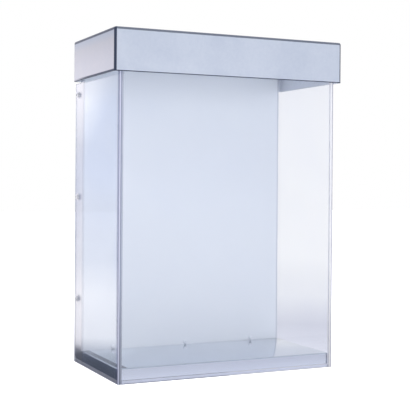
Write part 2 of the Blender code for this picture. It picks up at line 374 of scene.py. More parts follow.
def makeAcrylicFace(name, hazyShaded):
    material, tree, shader, where = startMaterial(name)
    smear = addCloud(tree, where, *acrylicLook["smear"])
    specks = addDust(tree, where, *acrylicLook["dust"])
    colour = mixColour(tree, smear, acrylicLook["faceColour"], acrylicLook["smearColour"])
    # the left panel gets haze with painted shade, a painted reflection blot and a painted violet
    # corner strip
    if hazyShaded:
        colour = addHazeAndShade(tree, where, colour)
        colour = addCornerReflection(tree, where, colour)
    addColour(tree, shader, colour)
    polish = mapRange(tree, smear, 0.0, 1.0, *acrylicLook["polish"])
    addDustyRough(tree, shader, polish, specks)
    wiped = addLines(tree, where, acrylicLook["wiping"])
    addBump(tree, shader, wiped, *acrylicLook["wipingBump"])
    makeClear(tree, shader, acrylicLook["faceClearness"])
    return material


def makeAcrylicEdge():
    # painted highlight and shade: a bevelled, polished edge is painted with a bright line between
    # a slate one and a violet one
    material, tree, shader, where = startMaterial("acrylicPolishedEdge")
    patch = addCloud(tree, where, *acrylicLook["edgePatch"])
    sideways, _, up = splitPlace(tree, where)
    inner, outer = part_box("side_panel_right")
    across = mapRange(tree, addMath(tree, "ABSOLUTE", sideways), inner.x, outer.x)
    leftLightLines = addRamp(tree, across, acrylicLook["edgeLeftLightLines"])
    rightLightLines = addRamp(tree, across, acrylicLook["edgeRightLightLines"])
    onRight = mapRange(tree, sideways, -0.01, 0.01)
    lines = mixColour(tree, onRight, leftLightLines, rightLightLines)
    # painted shade, darker towards the ground, apart from the painted bright line
    footHeight, footShade = acrylicLook["edgeFootShade"]
    shade = mapRange(tree, up, 0.0, footHeight, footShade, 1.0)
    brightShade = mapRange(tree, across, *acrylicLook["edgeBrightShade"])
    shade = addMath(tree, "MAXIMUM", shade, brightShade)
    shadeAndWear = multiply(tree, shade, mapRange(tree, patch, 0.0, 1.0, *acrylicLook["edgeWear"]))
    addColour(tree, shader, tintBy(tree, lines, shadeAndWear))
    addRough(tree, shader, patch, *acrylicLook["edgePolish"])
    sawn = addLines(tree, where, acrylicLook["edgeSaw"])
    addBump(tree, shader, sawn, *acrylicLook["edgeBump"])
    makeClear(tree, shader, acrylicLook["edgeClearness"])
    return material


plainLook = {
    # the cemented faces, where the cement's film takes the clearness away
    "cementedJoint": {
        "colour": (0.42, 0.44, 0.55, 1), "cloudColour": (0.4704, 0.4928, 0.616, 1),
        "patch": (40.0, 500.0, 0.5), "rough": (0.35, 0.55), "metallic": 0.0},
    "basePlateFrontEdge": {
        "colour": (0.49, 0.515, 0.60, 1), "cloudColour": (0.5488, 0.5768, 0.672, 1),
        "patch": (40.0, 500.0, 0.5), "rough": (0.35, 0.55), "metallic": 0.0},
    # the cap's inside, and its rim, painted dark as shadow, then the floor sheet's cut edge
    "unpolishedInside": {
        "colour": (0.78, 0.83, 0.90, 1), "cloudColour": (0.84, 0.88, 0.94, 1),
        "patch": (20.0, 240.0, 0.5), "rough": (0.5, 0.65), "metallic": 0.3},
    "rimShadow": {
        "colour": (0.07, 0.08, 0.11, 1), "cloudColour": (0.045, 0.058, 0.095, 1),
        "patch": (20.0, 240.0, 0.5), "rough": (0.5, 0.65), "metallic": 0.3},
    "shearedEdge": {
        "colour": (0.42, 0.46, 0.54, 1), "cloudColour": (0.52, 0.56, 0.63, 1),
        "patch": (50.0, 600.0, 0.5), "rough": (0.35, 0.5), "metallic": 0.2},
}


def makePlainFinish(name):
    look = plainLook[name]
    material, tree, shader, where = startMaterial(name, look["metallic"])
    cloud = addCloud(tree, where, *look["patch"])
    addColour(tree, shader, mixColour(tree, cloud, look["colour"], look["cloudColour"]))
    addRough(tree, shader, cloud, *look["rough"])
    return material


sheetLook = {
    "colour": (0.555, 0.604, 0.690, 1),
    "cloudColour": (0.636, 0.678, 0.748, 1),
    "dustColour": (0.75, 0.77, 0.82, 1),
    "bendShadeColour": (0.045, 0.058, 0.095, 1),
    # painted warm light and shade: what the two end faces' colour is multiplied by, from the rim
    # up
    "endShade": (
        (0.0, (1.04, 0.97, 0.94, 1)), (0.25, (1.01, 0.945, 0.91, 1)),
        (0.50, (0.93, 0.87, 0.84, 1)), (0.72, (0.85, 0.80, 0.765, 1)),
        (0.86, (0.73, 0.735, 0.75, 1)), (1.0, (0.66, 0.67, 0.70, 1))),
    "cloud": (16.0, 210.0, 0.42),
    "dust": (500.0, 0.5),
    "dustShare": 0.5,
    "grainScale": 900.0,
    "bump": (0.10, 0.0003),
    "metallic": 0.55,
    "satin": (0.35, 0.46),
}


def makeSheetFinish():
    material, tree, shader, where = startMaterial("satinSilverSheet", sheetLook["metallic"])
    cloud = addCloud(tree, where, *sheetLook["cloud"])
    base = mixColour(tree, cloud, sheetLook["colour"], sheetLook["cloudColour"])
    # painted warm light and shade: the two end faces are warmer, and darken towards the top fold
    low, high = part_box("cap_shell")
    sideways, _, up = splitPlace(tree, where)
    lightAndShade = addRamp(tree, mapRange(tree, up, low.z, high.z), sheetLook["endShade"])
    end = nearSides(tree, sideways, high.x, 0.0008, 0.0002)
    base = mixColour(tree, end, base, tintBy(tree, base, lightAndShade))
    specks = multiply(tree, addDust(tree, where, *sheetLook["dust"]), sheetLook["dustShare"])
    dusty = mixColour(tree, specks, base, sheetLook["dustColour"])
    # painted shade: a dark painted reflection along the bends and a painted shadow along the rim
    foldShading = readMask(tree, "foldShadeMask")
    foldShaded = mixColour(tree, foldShading, dusty, sheetLook["bendShadeColour"])
    addColour(tree, shader, foldShaded)
    addRough(tree, shader, cloud, *sheetLook["satin"])
    grain = addNode(tree, "ShaderNodeTexNoise", {
        "Vector": where, "Scale": sheetLook["grainScale"], "Detail": 2.0})
    addBump(tree, shader, grain.outputs[0], *sheetLook["bump"])
    return material


trayLook = {
    "colour": (0.585, 0.63, 0.70, 1),
    "cloudColour": (0.555, 0.60, 0.675, 1),
    "dustColour": (0.7, 0.72, 0.76, 1),
    "cornerLightColour": (0.90, 0.95, 0.99, 1),
    "cornerLightFrom": (0.12, 0.22),
    "riserLightColour": (0.70, 0.74, 0.81, 1),
    "foldReflectionColour": (0.50, 0.55, 0.63, 1),
    "sideShade": (0.11, 0.125, 0.165, 1),
    "sideShadeWidth": (0.012, 0.010),
    "flankShadeColour": (0.38, 0.42, 0.52, 1),
    "cloud": (12.0, 90.0, 0.3),
    "dust": (380.0, 0.6),
    "lines": (10.0, 700.0, 700.0),
    "bump": (0.015, 0.0002),
    "metallic": 1.0,
    "polish": (0.04, 0.075),
}


def makeTrayFinish():
    material, tree, shader, where = startMaterial("glossyFloorSheet", trayLook["metallic"])
    cloud = addCloud(tree, where, *trayLook["cloud"])
    specks = addDust(tree, where, *trayLook["dust"])
    sideways, along, up = splitPlace(tree, where)
    low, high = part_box("floor_tray")
    base = mixColour(tree, cloud, trayLook["colour"], trayLook["cloudColour"])
    # painted reflection lighter towards the rear left corner, painted shade in a narrow strip
    # along the left side
    towardsCorner = addMath(tree, "SUBTRACT", along, sideways)
    corner = mapRange(tree, towardsCorner, *trayLook["cornerLightFrom"])
    base = mixColour(tree, corner, base, trayLook["cornerLightColour"])
    onTop = mapRange(tree, up, high.z - 0.0012, high.z - 0.0004)
    wide, narrow = trayLook["sideShadeWidth"]
    strip = mapRange(tree, sideways, low.x + wide, low.x + narrow)
    base = mixColour(tree, multiply(tree, strip, onTop), base, trayLook["sideShade"])
    # painted light: the front riser is lighter
    riserLight = mapRange(tree, along, low.y + 0.0008, low.y + 0.0003)
    base = mixColour(tree, riserLight, base, trayLook["riserLightColour"])
    # painted shade: the side flanks are darker
    flankShade = nearSides(tree, sideways, high.x, 0.0008, 0.0003)
    base = mixColour(tree, flankShade, base, trayLook["flankShadeColour"])
    # painted reflection along the folds, darker than the sheet and lighter than the painted shade
    # strip
    foldShading = readMask(tree, "foldShadeMask")
    base = mixColour(tree, foldShading, base, trayLook["foldReflectionColour"])
    base = mixColour(tree, specks, base, trayLook["dustColour"])
    addColour(tree, shader, base)
    polish = mapRange(tree, cloud, 0.0, 1.0, *trayLook["polish"])
    addDustyRough(tree, shader, polish, specks)
    addBump(tree, shader, addLines(tree, where, trayLook["lines"]), *trayLook["bump"])
    return material


backLook = {
    "colour": (0.715, 0.758, 0.810, 1),
    "cloudColour": (0.745, 0.785, 0.830, 1),
    "sideShadeColour": (0.52, 0.55, 0.62, 1),
    "footShadeColour": (0.09, 0.10, 0.13, 1),
    # painted shade: what the colour is multiplied by, by height where 1 is 500 mm up
    "shadeByHeight": (
        (0.0, (1.0, 1.0, 1.0, 1)), (0.14, (0.97, 0.97, 0.975, 1)),
        (0.40, (0.93, 0.93, 0.935, 1)), (0.62, (0.925, 0.925, 0.935, 1)),
        (0.78, (0.965, 0.965, 0.97, 1)), (0.86, (1.0, 1.0, 1.0, 1))),
    "sideShadeLine": (0.0028, 0.0018),
    "cloud": (9.0, 120.0, 0.3),
    "lines": (500.0, 500.0, 8.0),
    "bump": (0.03, 0.0003),
    "metallic": 0.15,
    "satin": (0.38, 0.48),
}


def makeBackFinish():
    material, tree, shader, where = startMaterial("paleBackSheet", backLook["metallic"])
    cloud = addCloud(tree, where, *backLook["cloud"])
    base = mixColour(tree, cloud, backLook["colour"], backLook["cloudColour"])
    sideways, _, up = splitPlace(tree, where)
    base = tintBy(tree, base, rampByHeight(tree, up, backLook["shadeByHeight"]))
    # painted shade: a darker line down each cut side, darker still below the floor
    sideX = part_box("back_panel")[1].x
    side = nearSides(tree, sideways, sideX, *backLook["sideShadeLine"])
    base = mixColour(tree, side, base, backLook["sideShadeColour"])
    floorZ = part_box("floor_tray")[1].z
    footShadeMask = mapRange(tree, up, floorZ, floorZ - 0.002)
    base = mixColour(tree, multiply(tree, footShadeMask, side), base, backLook["footShadeColour"])
    addColour(tree, shader, base)
    addRough(tree, shader, cloud, *backLook["satin"])
    addBump(tree, shader, addLines(tree, where, backLook["lines"]), *backLook["bump"])
    return material


tubeLook = {
    "colour": (0.65, 0.67, 0.73, 1),
    "rubColour": (0.72, 0.74, 0.79, 1),
    "footShadeColour": (0.09, 0.10, 0.13, 1),
    "rub": (22.0, 260.0, 0.5),
    "uprightLines": (500.0, 500.0, 9.0),
    "crossLines": (9.0, 500.0, 500.0),
    "bump": (0.15, 0.0003),
    "metallic": 0.35,
    "satin": (0.28, 0.44),
}


def makeTubeFinish(name, stretch):
    # drawn lines run along the tube, and the foot against the side panels gets painted shade
    material, tree, shader, where = startMaterial(name, tubeLook["metallic"])
    lines = addLines(tree, where, stretch)
    rub = addCloud(tree, where, *tubeLook["rub"])
    base = mixColour(tree, rub, tubeLook["colour"], tubeLook["rubColour"])
    sideways, _, up = splitPlace(tree, where)
    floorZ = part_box("floor_tray")[1].z
    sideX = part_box("rear_post_right")[1].x
    footShadeMask = mapRange(tree, up, floorZ + 0.008, floorZ - 0.002)
    beside = nearSides(tree, sideways, sideX, 0.0006, 0.0003)
    base = mixColour(tree, multiply(tree, footShadeMask, beside), base, tubeLook["footShadeColour"])
    addColour(tree, shader, base)
    rough = mapRange(tree, lines, 0.3, 0.7, *tubeLook["satin"])
    tree.links.new(rough, shader.inputs["Roughness"])
    addBump(tree, shader, lines, *tubeLook["bump"])
    return material


steelLook = {
    "colour": (0.86, 0.87, 0.90, 1),
    # grime patches and the painted shade in the sockets share these colours
    "grimeAndShade": (0.12, 0.13, 0.16, 1),
    "backColour": (0.90, 0.93, 0.98, 1),
    "backGrimeAndShade": (0.62, 0.66, 0.74, 1),
    "grimePatch": (260.0, 1500.0, 0.5),
    "grimeShare": 0.12,
    "bump": (0.08, 0.0001),
    "metallic": 0.6,
    "satin": (0.22, 0.40),
}


def makeSteelFinish(name, colour, grimeAndShadeColour):
    material, tree, shader, where = startMaterial(name, steelLook["metallic"])
    grimeAndShade = addCloud(tree, where, *steelLook["grimePatch"])
    # painted shade darkens the sunk socket, and grime darkens patches
    sunkShade = readMask(tree, "sunkShadeMask")
    dark = addMath(tree, "MAXIMUM", sunkShade, multiply(tree, grimeAndShade, steelLook["grimeShare"]))
    addColour(tree, shader, mixColour(tree, dark, colour, grimeAndShadeColour))
    addRough(tree, shader, grimeAndShade, *steelLook["satin"])
    addBump(tree, shader, grimeAndShade, *steelLook["bump"])
    return material


nylonLook = {
    "colour": (0.60, 0.64, 0.70, 1),
    "shade": (0.54, 0.58, 0.64, 1),
    "cloud": (60.0, 700.0, 0.6),
    "bump": (0.12, 0.0003),
    "satin": (0.42, 0.60),
}


def makeNylonFinish():
    material, tree, shader, where = startMaterial("mouldedNylon")
    cloud = addCloud(tree, where, *nylonLook["cloud"])
    colour = mixColour(tree, cloud, nylonLook["colour"], nylonLook["shade"])
    addColour(tree, shader, colour)
    addRough(tree, shader, cloud, *nylonLook["satin"])
    addBump(tree, shader, cloud, *nylonLook["bump"])
    return material


faceFinish = makeAcrylicFace("clearAcrylicFace", False)
hazyShadedFinish = makeAcrylicFace("hazyShadedAcrylicFace", True)
edgeFinish = makeAcrylicEdge()
jointFinish = makePlainFinish("cementedJoint")
baseEdgeFinish = makePlainFinish("basePlateFrontEdge")
insideFinish = makePlainFinish("unpolishedInside")
rimShadowFinish = makePlainFinish("rimShadow")
cutFinish = makePlainFinish("shearedEdge")
sheetFinish = makeSheetFinish()
trayFinish = makeTrayFinish()
backFinish = makeBackFinish()
postFinish = makeTubeFinish("uprightTube", tubeLook["uprightLines"])
railFinish = makeTubeFinish("crossTube", tubeLook["crossLines"])
steelFinish = makeSteelFinish("screwSteel", steelLook["colour"], steelLook["grimeAndShade"])
backScrewFinish = makeSteelFinish(
    "backScrewSteel", steelLook["backColour"], steelLook["backGrimeAndShade"])
nylonFinish = makeNylonFinish()
print("finishes made")


paneLook = {
    "arris": 0.0006,
    "arrisSteps": 2,
    "frontCornerChamfer": 0.0012,
    "screwHoleRadius": 0.0023,
    "holeSides": 32,
    "holeCut": 0.02,
    "notchBehindCap": 0.006,
}


def prismForm(outline, low, high):
    # outline is in (y, z), drawn out along X
    form = bmesh.new()
    points = [form.verts.new((low, along, up)) for along, up in outline]
    form.faces.new(points)
    grown = bmesh.ops.extrude_face_region(form, geom=form.faces[:])
    moved = [item for item in grown["geom"] if isinstance(item, bmesh.types.BMVert)]
    bmesh.ops.translate(form, verts=moved, vec=(high - low, 0, 0))
    return form


def boxForm(low, high):
    form = bmesh.new()
    size = Vector(high) - Vector(low)
    place = Matrix.Translation((Vector(high) + Vector(low)) / 2) @ Matrix.Diagonal((*size, 1))
    bmesh.ops.create_cube(form, size=1.0, matrix=place)
    return form


def chamferFrontCorner(form, outer, front):
    corner = Vector((outer, front))
    upright = [
        edge for edge in form.edges
        if all((point.co.xy - corner).length < 0.0003 for point in edge.verts)]
    bmesh.ops.bevel(
        form, geom=upright, offset=paneLook["frontCornerChamfer"], offset_type="OFFSET",
        segments=1, profile=0.5, affect="EDGES")


def easeEdges(form, width, steps):
    form.normal_update()
    sharp = [edge for edge in form.edges if edge.calc_face_angle(0.0) > 0.5]
    bmesh.ops.bevel(
        form, geom=sharp, offset=width, offset_type="OFFSET", segments=steps,
        profile=0.5, affect="EDGES", clamp_overlap=True)


def paintByFacing(form, faceAxis, jointAxis=None):
    # slot 0 is the two wide faces, slot 1 the edges, slot 2 the ends across jointAxis
    form.normal_update()
    for face in form.faces:
        if abs(face.normal[faceAxis]) > 0.99:
            face.material_index = 0
        elif jointAxis is not None and abs(face.normal[jointAxis]) > 0.99:
            face.material_index = 2
        else:
            face.material_index = 1


def seatPane(piece, node):
    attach(piece, "case")
    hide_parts(node)


def makeFlatPane(name, node, faceAxis, jointAxis, endFinish):
    form = boxForm(*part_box(node))
    easeEdges(form, paneLook["arris"], paneLook["arrisSteps"])
    paintByFacing(form, faceAxis, jointAxis)
    seatPane(addPiece(name, form, (faceFinish, edgeFinish, endFinish)), node)


def makeSidePane(side):
    name = "side_panel_" + side
    low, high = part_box(name)
    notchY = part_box("cap_shell")[1].y - paneLook["notchBehindCap"]
    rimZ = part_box("rear_post_" + side)[1].z
    outline = [
        (low.y, low.z), (high.y, low.z), (high.y, rimZ),
        (notchY, rimZ), (notchY, high.z), (low.y, high.z)]
    form = prismForm(outline, low.x, high.x)
    outer = low.x if side == "left" else high.x
    chamferFrontCorner(form, outer, low.y)
    easeEdges(form, paneLook["arris"], paneLook["arrisSteps"])
    paintByFacing(form, 0)
    wide = hazyShadedFinish if side == "left" else faceFinish
    piece = addPiece(side + "Pane", form, (wide, edgeFinish, jointFinish))
    cutters = bmesh.new()
    for number in (1, 2, 3):
        screwLow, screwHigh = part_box(f"side_screw_{side}_{number}")
        middle = (screwLow + screwHigh) / 2
        middle.x = (low.x + high.x) / 2
        turn = Matrix.Rotation(math.pi / 2, 4, "Y")
        bmesh.ops.create_cone(
            cutters, cap_ends=True, segments=paneLook["holeSides"],
            radius1=paneLook["screwHoleRadius"], radius2=paneLook["screwHoleRadius"],
            depth=paneLook["holeCut"], matrix=Matrix.Translation(middle) @ turn)
    cutter = addPiece("holeCutter", cutters, (faceFinish, edgeFinish, edgeFinish))
    for face in cutter.data.polygons:
        face.material_index = 1
    cut = piece.modifiers.new("cut", "BOOLEAN")
    cut.operation = "DIFFERENCE"
    cut.solver = "EXACT"
    cut.object = cutter
    settle(piece)
    bpy.data.objects.remove(cutter)
    seatPane(piece, name)


makeFlatPane("frontPane", "front_panel", 1, 0, jointFinish)
makeSidePane("left")
makeSidePane("right")
makeFlatPane("basePane", "base_plate", 2, 1, baseEdgeFinish)
print("clear panels made")


foldLook = {
    "capSheet": 0.0015,
    "capBend": 0.0035,
    "capSteps": 8,
    "traySheet": 0.0015,
    "trayBend": 0.0017,
    "hemShadow": 0.0010,
    "sideHemShadow": 0.0026,
    "sideHemShadowEnd": 0.020,
    "foldShadeLine": 0.0006,
    "sideFoldShadeLine": 0.0013,
    "longFoldShade": 0.74,
    "traySteps": 6,
    "smoothUpTo": 35,
}


def cutAcross(form, axis, place):
    point, way = Vector(), Vector()
    point[axis] = place
    way[axis] = 1.0
    bmesh.ops.bisect_plane(
        form, geom=form.verts[:] + form.edges[:] + form.faces[:], plane_co=point, plane_no=way)


def drawHemShadow(form, layer, low, high, hemShadow, bend):
    # cuts beside the rim and the top folds, so that their dark painted lines end crisply: painted
    # shadow under the rim and along the left side, painted shade along the top folds
    sideHemShadow = foldLook["sideHemShadow"]
    topLine = high.z - bend - foldLook["foldShadeLine"]
    sideShadeLine = topLine - foldLook["sideFoldShadeLine"]
    for place in (
            low.z + hemShadow, low.z + hemShadow * 1.3, low.z + sideHemShadow, low.z + sideHemShadow * 1.2,
            sideShadeLine, topLine):
        cutAcross(form, 2, place)
    cutAcross(form, 1, foldLook["sideHemShadowEnd"])
    for point in form.verts:
        rise = point.co.z - low.z
        onLeft = point.co.x < low.x + 0.001 and point.co.y < foldLook["sideHemShadowEnd"] + 0.001
        if rise < hemShadow * 1.1 or (onLeft and rise < sideHemShadow * 1.1):
            point[layer] = 1.0
        if topLine + 0.0001 < point.co.z < high.z - 0.0001:
            point[layer] = 1.0
        if abs(point.co.x) > high.x - 0.001 and abs(point.co.z - topLine) < 0.0002:
            point[layer] = 1.0
        # the painted shade on the long top folds is paler than on the short ones
        if abs(point.co.x) < high.x - bend + 0.0001 and point.co.z > topLine + 0.0001:
            point[layer] *= foldLook["longFoldShade"]


def makeFoldedSheet(name, node, sheet, bend, steps, materials, hemShadow=0.0):
    # a box of sheet, folded on four sides and open below
    low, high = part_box(node)
    form = boxForm(low, high)
    form.normal_update()
    gone = [face for face in form.faces if face.normal.z < -0.9]
    bmesh.ops.delete(form, geom=gone, context="FACES")
    folds = [edge for edge in form.edges if len(edge.link_faces) == 2]
    bmesh.ops.bevel(
        form, geom=folds, offset=bend, offset_type="OFFSET", segments=steps,
        profile=0.5, affect="EDGES", clamp_overlap=True)
    form.normal_update()
    # painted shade: the bends are marked for a painted dark line
    layer = form.verts.layers.float.new("foldShadeMask")
    for point in form.verts:
        flat = [face for face in point.link_faces if max(map(abs, face.normal)) > 0.9999]
        point[layer] = 0.0 if flat else 1.0
    if hemShadow:
        drawHemShadow(form, layer, low, high, hemShadow, bend)
    piece = addPiece(name, form, materials, faceUp=False)
    wall = piece.modifiers.new("sheet", "SOLIDIFY")
    wall.thickness = sheet
    wall.offset = -1.0
    wall.use_even_offset = True
    wall.material_offset_rim = 1
    wall.material_offset = 2
    settle(piece)
    piece.data.shade_smooth()
    piece.data.set_sharp_from_angle(angle=math.radians(foldLook["smoothUpTo"]))
    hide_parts(node)
    return piece


capPiece = makeFoldedSheet(
    "capFoldedShell", "cap_shell", foldLook["capSheet"], foldLook["capBend"],
    foldLook["capSteps"], (sheetFinish, rimShadowFinish, insideFinish), foldLook["hemShadow"])
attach(capPiece, "cap")
trayPiece = makeFoldedSheet(
    "floorFoldedTray", "floor_tray", foldLook["traySheet"], foldLook["trayBend"],
    foldLook["traySteps"], (trayFinish, cutFinish, trayFinish))
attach(trayPiece, "case")
print("folded sheets made")


screwLook = {
    "sides": 48,
    "sideHead": 0.0038,
    "sideHeight": 0.0022,
    "backHead": 0.0030,
    "backHeight": 0.0016,
    "socket": 0.00125,
    "socketDepth": 0.0014,
    "backSocketDepth": 0.0005,
    "shank": 0.0020,
    "domeSteps": 7,
    "domeStart": 8,
    "domeStep": 9,
    "washerOuter": 0.0055,
    "washerInner": 0.0023,
    "washerThickness": 0.0010,
    "washerEase": 0.00015,
    "freeTurn": 0.5,
    "turnSeed": 7,
    "smoothUpTo": 28,
}


def turnForm(profile, sides):
    # profile holds (radius, height, hexagonal, sunkShade), the last being painted shade in the
    # socket and the washer's bore
    form = bmesh.new()
    layer = form.verts.layers.float.new("sunkShadeMask")
    rings = []
    for radius, height, hexagonal, sunkShade in profile:
        ring = []
        for step in range(sides if radius > 0 else 1):
            angle = 2 * math.pi * step / sides
            reach = radius
            if hexagonal:
                reach = radius / math.cos(angle % (math.pi / 3) - math.pi / 6)
            point = form.verts.new((reach * math.cos(angle), reach * math.sin(angle), height))
            point[layer] = sunkShade
            ring.append(point)
        rings.append(ring)
    for lower, upper in zip(rings, rings[1:]):
        for step in range(sides):
            after = (step + 1) % sides
            corners = [lower[step % len(lower)], lower[after % len(lower)]]
            corners += [upper[after % len(upper)], upper[step % len(upper)]]
            form.faces.new(list(dict.fromkeys(corners)))
    bmesh.ops.remove_doubles(form, verts=form.verts, dist=1e-6)
    return form


def screwProfile(head, top, length, depth, sunkShade):
    # the head stands from 0 up to top, domed, with a hexagonal socket, and the shank is below
    dome = []
    for step in range(screwLook["domeSteps"]):
        angle = math.radians(screwLook["domeStart"] + step * screwLook["domeStep"])
        rise = min(top * (0.25 + 0.95 * math.sin(angle)), top)
        dome.append((head * math.cos(angle) ** 0.8, rise, False, 0.0))
    socket = screwLook["socket"]
    return [
        (0.0, -length, False, 0.0),
        (screwLook["shank"] * 0.75, -length, False, 0.0),
        (screwLook["shank"], -length + 0.0008, False, 0.0),
        (screwLook["shank"], 0.0, False, 0.0),
        (head - 0.0002, 0.0, False, 0.0),
        (head, 0.0002, False, 0.0),
        *dome,
        (socket * 1.35, top, False, 0.0),
        (socket * 1.04, top - 0.0001, True, sunkShade * 0.6),
        (socket, top - 0.0002, True, sunkShade),
        (socket, top - depth, True, sunkShade),
        (0.0, top - depth - 0.0001, False, sunkShade),
    ]


def washerProfile():
    inner, outer = screwLook["washerInner"], screwLook["washerOuter"]
    thick, ease = screwLook["washerThickness"], screwLook["washerEase"]
    return [
        (inner, ease, False, 0.3), (inner + ease, 0.0, False, 0.0),
        (outer - ease, 0.0, False, 0.0), (outer, ease, False, 0.0),
        (outer, thick - ease, False, 0.0), (outer - ease, thick, False, 0.0),
        (inner + ease, thick, False, 0.0), (inner, thick - ease, False, 0.3),
        (inner, ease, False, 0.3)]


def makeRowTree():
    # sets copies of the object's own mesh along a straight row
    tree = bpy.data.node_groups.new("fastenerRow", "GeometryNodeTree")
    addSocket(tree, "Geometry", "Geometry")
    addSocket(tree, "Count", "Int", 3)
    addSocket(tree, "First Place", "Vector")
    addSocket(tree, "Step", "Vector")
    addSocket(tree, "Turn", "Rotation")
    addSocket(tree, "Finish", "Material")
    addSocket(tree, "Geometry", "Geometry", output=True)
    inside = tree.nodes.new("NodeGroupInput")
    outside = tree.nodes.new("NodeGroupOutput")
    line = addNode(tree, "GeometryNodeMeshLine", {
        "Count": inside.outputs["Count"], "Start Location": inside.outputs["First Place"],
        "Offset": inside.outputs["Step"]}, mode="OFFSET")
    # each copy is turned a little on its own axis, as hand-driven screws end up
    spin = addNode(tree, "FunctionNodeRandomValue", {
        2: -screwLook["freeTurn"], 3: screwLook["freeTurn"], "Seed": screwLook["turnSeed"]},
        data_type="FLOAT")
    around = addNode(tree, "ShaderNodeCombineXYZ", {"Z": spin.outputs[1]})
    asTurn = addNode(tree, "FunctionNodeEulerToRotation", {0: around.outputs[0]})
    turned = addNode(tree, "FunctionNodeRotateRotation", {
        0: inside.outputs["Turn"], 1: asTurn.outputs[0]}, rotation_space="LOCAL")
    copies = addNode(tree, "GeometryNodeInstanceOnPoints", {
        "Points": line.outputs[0], "Instance": inside.outputs["Geometry"],
        "Rotation": turned.outputs[0]})
    real = addNode(tree, "GeometryNodeRealizeInstances", {0: copies.outputs[0]})
    painted = addNode(tree, "GeometryNodeSetMaterial", {
        "Geometry": real.outputs[0], "Material": inside.outputs["Finish"]})
    tree.links.new(painted.outputs[0], outside.inputs[0])
    return tree


rowTree = makeRowTree()


def makeFastenerRow(name, profile, nodes, places, outward, finish):
    piece = addPiece(name, turnForm(profile, screwLook["sides"]), (finish,))
    piece.data.shade_smooth()
    piece.data.set_sharp_from_angle(angle=math.radians(screwLook["smoothUpTo"]))
    turn = Vector((0, 0, 1)).rotation_difference(Vector(outward)).to_euler()
    row = piece.modifiers.new("row", "NODES")
    row.node_group = rowTree
    values = {
        "Count": len(places),
        "First Place": list(places[0]),
        "Step": list((places[-1] - places[0]) / (len(places) - 1)),
        "Turn": list(turn),
        "Finish": finish,
    }
    for socket in rowTree.interface.items_tree:
        if socket.in_out == "INPUT" and socket.name in values:
            row[socket.identifier] = values[socket.name]
    settle(piece)
    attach(piece, "case")
    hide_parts(*nodes)


def seatOf(node, outward, height):
    # the middle of the fastener's underside, from its box and how high its head stands
    low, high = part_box(node)
    middle = (low + high) / 2
    way = Vector(outward)
    tip = Vector((high[i] if way[i] > 0 else low[i]) if way[i] else middle[i] for i in range(3))
    return tip - way * height


for side, way in (("left", -1), ("right", 1)):
    outward = (way, 0, 0)
    screwNodes = [f"side_screw_{side}_{number}" for number in (1, 2, 3)]
    washerNodes = [f"side_washer_{side}_{number}" for number in (1, 2, 3)]
    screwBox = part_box(screwNodes[0])
    length = screwBox[1].x - screwBox[0].x - screwLook["sideHeight"]
    makeFastenerRow(
        side + "SideScrews",
        screwProfile(
            screwLook["sideHead"], screwLook["sideHeight"], length,
            screwLook["socketDepth"], 1.0), screwNodes,
        [seatOf(node, outward, screwLook["sideHeight"]) for node in screwNodes], outward,
        steelFinish)
    makeFastenerRow(
        side + "SideWashers", washerProfile(), washerNodes,
        [seatOf(node, outward, screwLook["washerThickness"]) for node in washerNodes], outward,
        steelFinish)

backNodes = [f"back_screw_{number}" for number in (1, 2, 3)]
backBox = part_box(backNodes[0])
makeFastenerRow(
    "backSheetScrews",
    screwProfile(
        screwLook["backHead"], screwLook["backHeight"],
        backBox[1].y - backBox[0].y - screwLook["backHeight"],
        screwLook["backSocketDepth"], 0.2),
    backNodes, [seatOf(node, (0, -1, 0), screwLook["backHeight"]) for node in backNodes],
    (0, -1, 0), backScrewFinish)
print("screws and washers made")


keptNodes = {
    "back_panel": backFinish,
    "rear_post_left": postFinish,
    "rear_post_right": postFinish,
    "rear_rail_top": railFinish,
    "rear_rail_bottom": railFinish,
}
for name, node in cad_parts.items():
    finish = keptNodes.get(name)
    if name.startswith("cap_guide"):
        finish = nylonFinish
    if finish:
        node.data.materials.clear()
        node.data.materials.append(finish)
print("kept nodes finished")


floorLook = {
    "size": 14.0,
    "palest": (0.86, 0.86, 0.86, 1),
    "pale": (0.80, 0.80, 0.80, 1),
    "glow": 0.82,
    "rough": 0.8,
    "grainScale": 60.0,
    # the painted light and shadow ramps run from the object's footprint, drawn in by footInset,
    # over rampLength
    "footInset": (0.012, 0.006),
    "rampLength": 2.0,
    "lit": (
        (0.0, (0.40, 0.41, 0.48, 1)), (0.006, (0.88, 0.89, 0.97, 1)),
        (0.05, (0.78, 0.79, 0.87, 1)), (0.15, (0.69, 0.70, 0.78, 1)),
        (0.40, (0.76, 0.775, 0.84, 1)), (1.0, (0.60, 0.62, 0.70, 1))),
    # on the left, where the shade is deeper near the object
    "shaded": (
        (0.0, (0.08, 0.09, 0.115, 1)), (0.035, (0.12, 0.135, 0.17, 1)),
        (0.065, (0.35, 0.36, 0.42, 1)), (0.12, (0.90, 0.89, 0.92, 1)),
        (0.45, (1.0, 0.98, 1.0, 1)), (1.0, (0.50, 0.52, 0.60, 1))),
    "shadedEdge": (0.018, 0.009),
    "shadedGlow": 1.30,
    "beyond": ((0.0, 0.0), (0.15, 0.0), (0.40, 0.6), (1.0, 1.0)),
}


def chooseByRay(tree, direct, through, other):
    # one look straight from the camera, one through the clear panels, one for all else
    path = tree.nodes.new("ShaderNodeLightPath")
    first = addNode(tree, "ShaderNodeMixShader", {
        0: path.outputs["Is Transmission Ray"], 1: other.outputs[0], 2: through.outputs[0]})
    return addNode(tree, "ShaderNodeMixShader", {
        0: path.outputs["Is Camera Ray"], 1: first.outputs[0], 2: direct.outputs[0]}).outputs[0]


def howFarOut(tree, place, half):
    beyond = addMath(tree, "SUBTRACT", addMath(tree, "ABSOLUTE", place), half)
    return addMath(tree, "MAXIMUM", beyond, 0.0)


